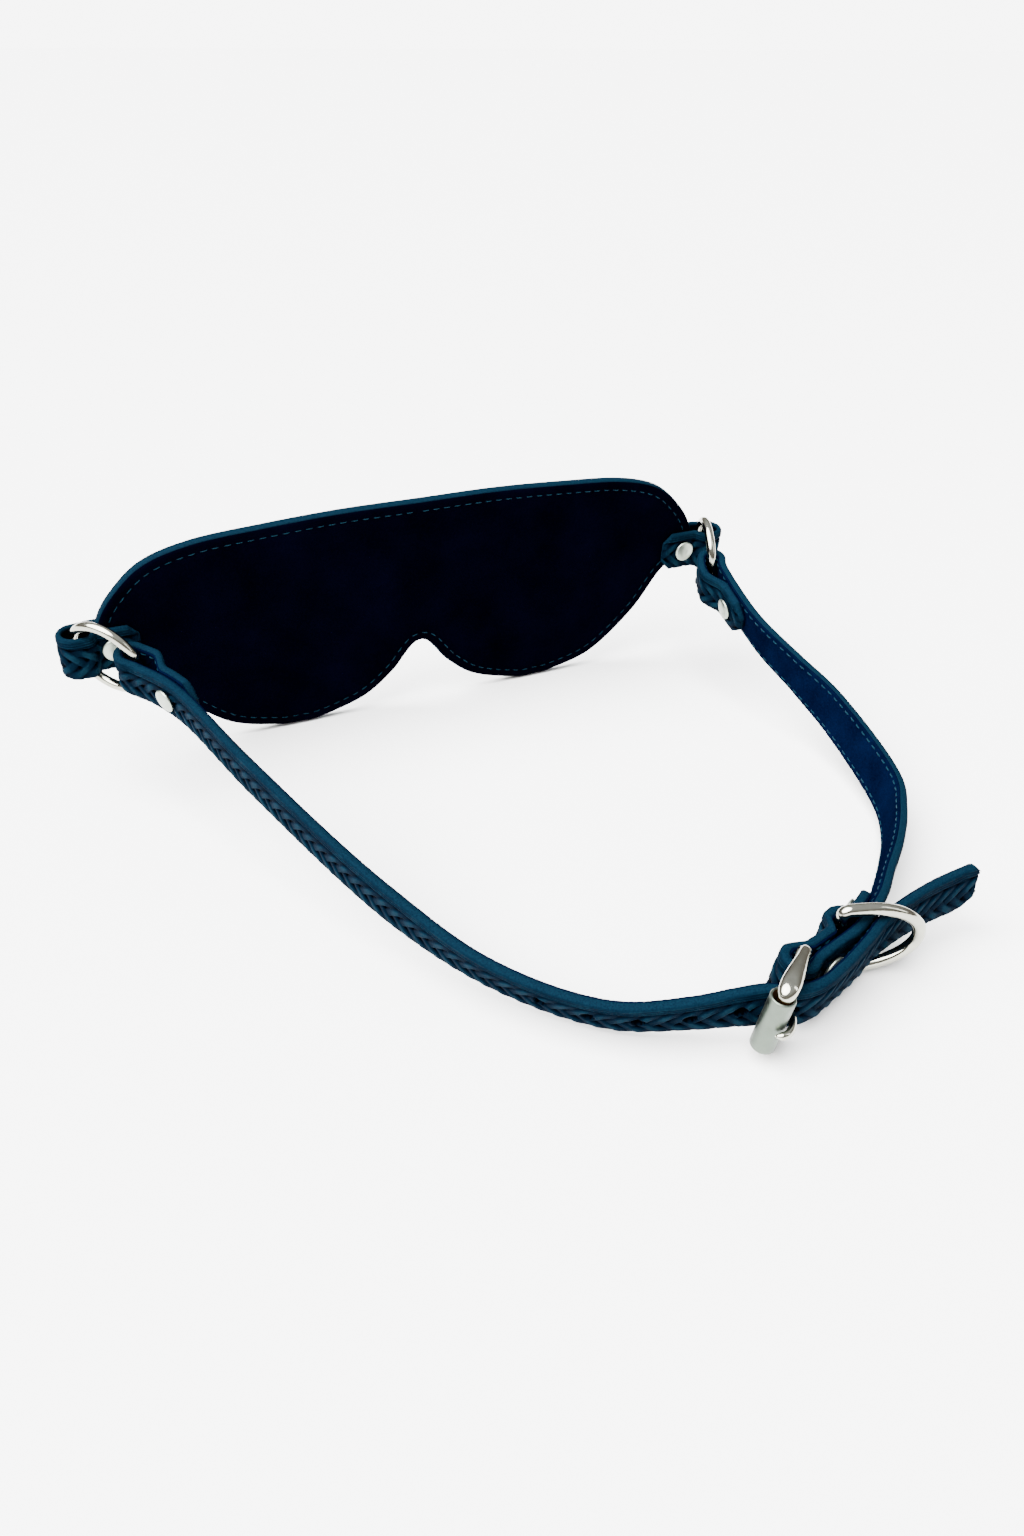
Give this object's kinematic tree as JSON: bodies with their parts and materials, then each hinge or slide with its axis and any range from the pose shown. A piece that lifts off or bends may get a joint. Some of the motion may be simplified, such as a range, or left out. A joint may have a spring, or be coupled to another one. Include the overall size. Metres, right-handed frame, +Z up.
{
  "type": "buckled leather blindfold",
  "caption": "Padded leather eye mask with an embossed strap, ring joints, roller buckle and D-ring keeper, shown buckled in a loop.",
  "frame": {"origin": "centre of the footprint, on the surface the mask and strap stand on", "axes": "+X from ear to ear toward the wearer's left as the strap loop lies toward -Y, +Y out through the front of the mask, +Z up over the top edge of the mask"},
  "size_m": [0.2282, 0.2032, 0.0743],
  "materials": {
    "embossed_leather": "braid-embossed teal leather, matte with lighter worn edges",
    "suede_lining": "dark navy suede with two rows of stitching",
    "velvet_lining": "near-black navy velvet",
    "padding": "thin foam padding",
    "nickel_hardware": "polished nickel plate",
    "rivet_nickel": "satin nickel plate"
  },
  "bodies": {
    "mask": {"mask_lining": "velvet_lining", "mask_padding": "padding", "mask_front_leather": "embossed_leather", "left_tab": "embossed_leather", "right_tab": "embossed_leather", "left_tab_rivet_post": "rivet_nickel", "left_tab_rivet_cap": "rivet_nickel", "right_tab_rivet_post": "rivet_nickel", "right_tab_rivet_cap": "rivet_nickel"},
    "left_ring": {"left_ring": "nickel_hardware"},
    "right_ring": {"right_ring": "nickel_hardware"},
    "strap": {"left_strap_outer": "embossed_leather", "left_strap_lining": "suede_lining", "right_strap_outer": "embossed_leather", "right_strap_lining": "suede_lining", "left_strap_rivet_post": "rivet_nickel", "left_strap_rivet_cap": "rivet_nickel", "right_strap_rivet_post": "rivet_nickel", "right_strap_rivet_cap": "rivet_nickel", "buckle_rivet_post": "rivet_nickel", "buckle_rivet_cap": "rivet_nickel", "keeper_rivet_post": "rivet_nickel", "keeper_rivet_cap": "rivet_nickel"},
    "buckle_frame": {"buckle_frame": "nickel_hardware"},
    "buckle_roller": {"buckle_roller": "nickel_hardware"},
    "buckle_prong": {"buckle_prong": "nickel_hardware"},
    "keeper_ring": {"keeper_ring": "nickel_hardware"}
  },
  "joints": [
    {"name": "left_ring_spin", "type": "hinge", "parent": "mask", "child": "left_ring", "pos_m": [-0.1012, 0.0846, 0.042], "axis": [-0.7272, -0.6211, -0.2924], "continuous": true},
    {"name": "right_ring_spin", "type": "hinge", "parent": "mask", "child": "right_ring", "pos_m": [0.1036, 0.0832, 0.0422], "axis": [-0.9269, 0.3651, -0.0872], "continuous": true},
    {"name": "strap_tilt", "type": "hinge", "parent": "mask", "child": "strap", "pos_m": [0.0012, 0.0839, 0.0421], "axis": [1, 0, 0], "range_deg": [-5, 5]},
    {"name": "buckle_hinge", "type": "hinge", "parent": "strap", "child": "buckle_frame", "pos_m": [0.022, -0.0865, 0.012], "axis": [0.1198, -0.1485, 0.9816], "range_deg": [-0.8, 0.5]},
    {"name": "roller_spin", "type": "hinge", "parent": "buckle_frame", "child": "buckle_roller", "pos_m": [0.00949, -0.09659, 0.012], "axis": [0.1198, -0.1485, 0.9816], "continuous": true},
    {"name": "prong_hinge", "type": "hinge", "parent": "buckle_frame", "child": "buckle_prong", "pos_m": [0.022, -0.0865, 0.012], "axis": [0.1198, -0.1485, 0.9816], "range_deg": [-0.8, 0.5]},
    {"name": "keeper_hinge", "type": "hinge", "parent": "strap", "child": "keeper_ring", "pos_m": [0.0394, -0.0801, 0.0123], "axis": [-0.0314, -0.0997, 0.9945], "range_deg": [-5, 0.5]}
  ]
}
